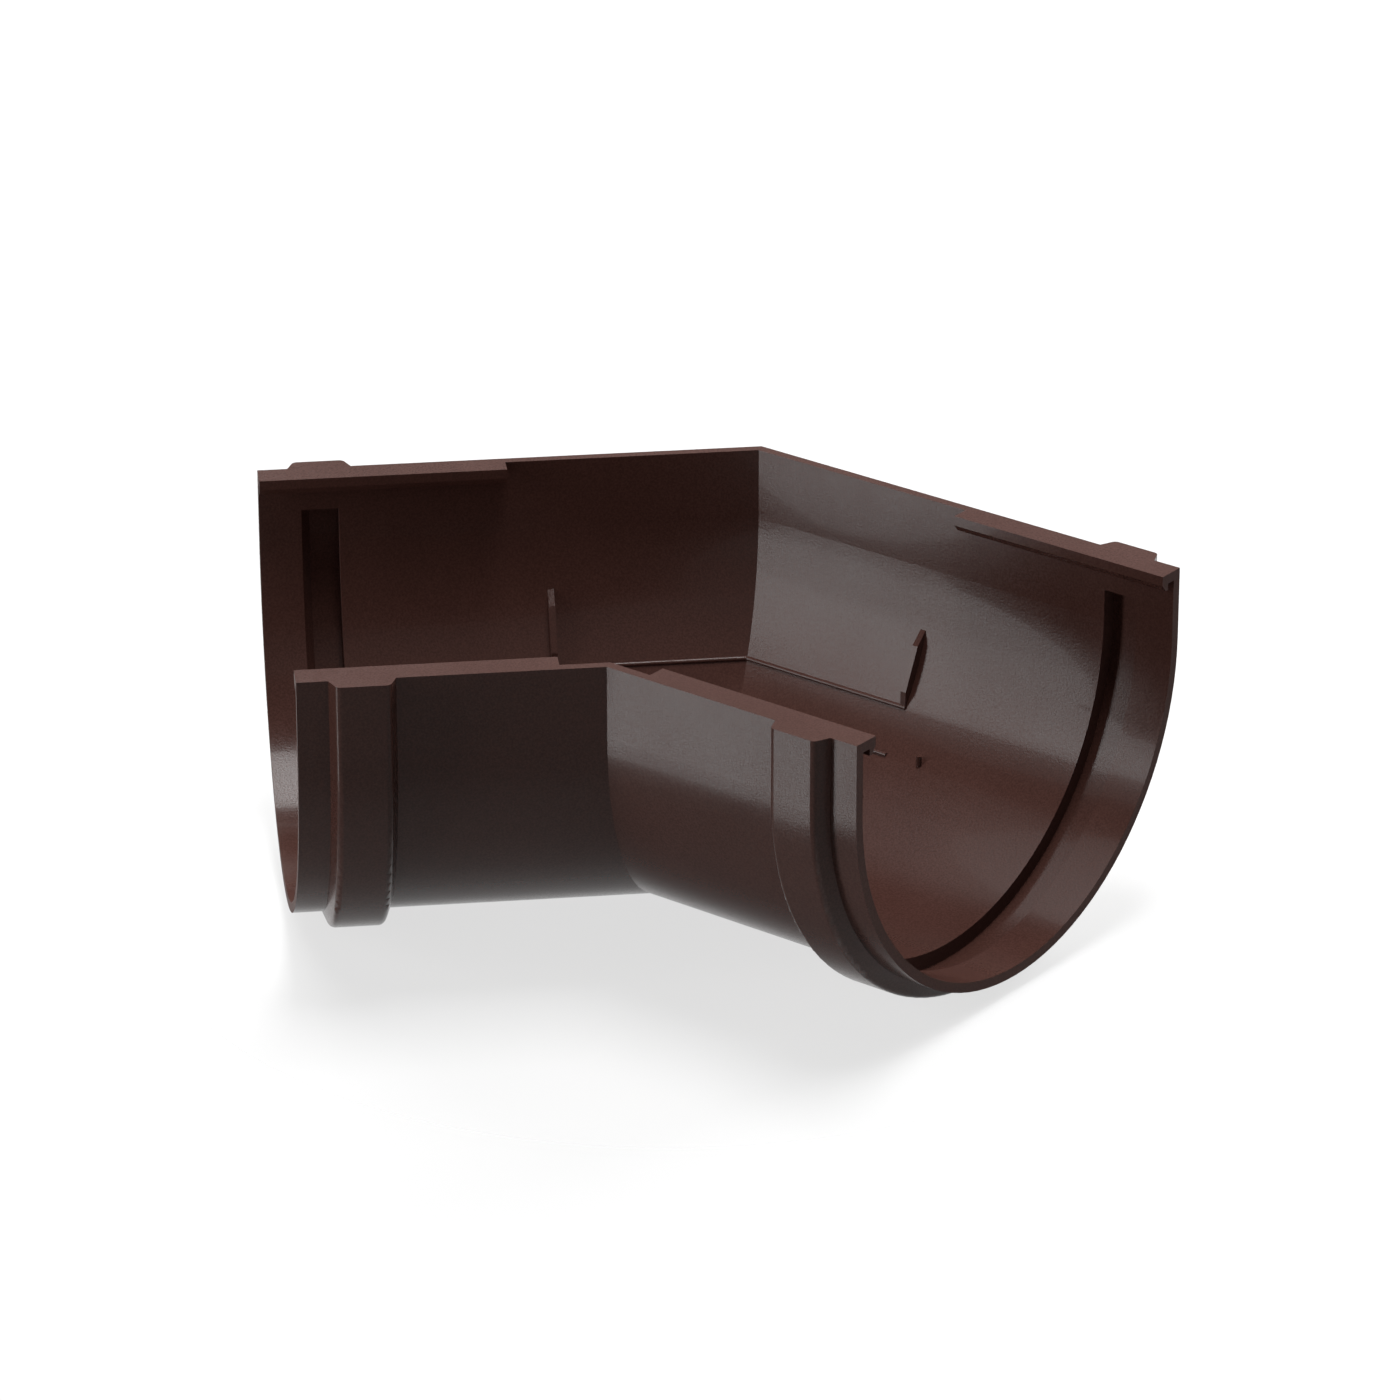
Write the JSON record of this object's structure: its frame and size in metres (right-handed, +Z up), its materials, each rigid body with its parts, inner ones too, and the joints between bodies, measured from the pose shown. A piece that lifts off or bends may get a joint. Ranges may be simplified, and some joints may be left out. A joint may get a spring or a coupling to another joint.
{
  "type": "gutter angle",
  "caption": "Moulded half-round gutter angle with mitred channel arms, hooked rims, grooved end collars and inner stop ribs; joins gutter runs round a 135 degree corner.",
  "frame": {"origin": "under the middle of the piece, on the level of the collars' undersides", "axes": "+Z up, out of the open channel; +Y along the corner's bisector, towards the outer corner; +X towards the right arm"},
  "size_m": [0.235, 0.1696, 0.0881],
  "materials": {
    "brown_pvc": "satin, very fine moulded grain"
  },
  "bodies": {
    "root": {"gutter_angle": "brown_pvc"}
  },
  "joints": []
}
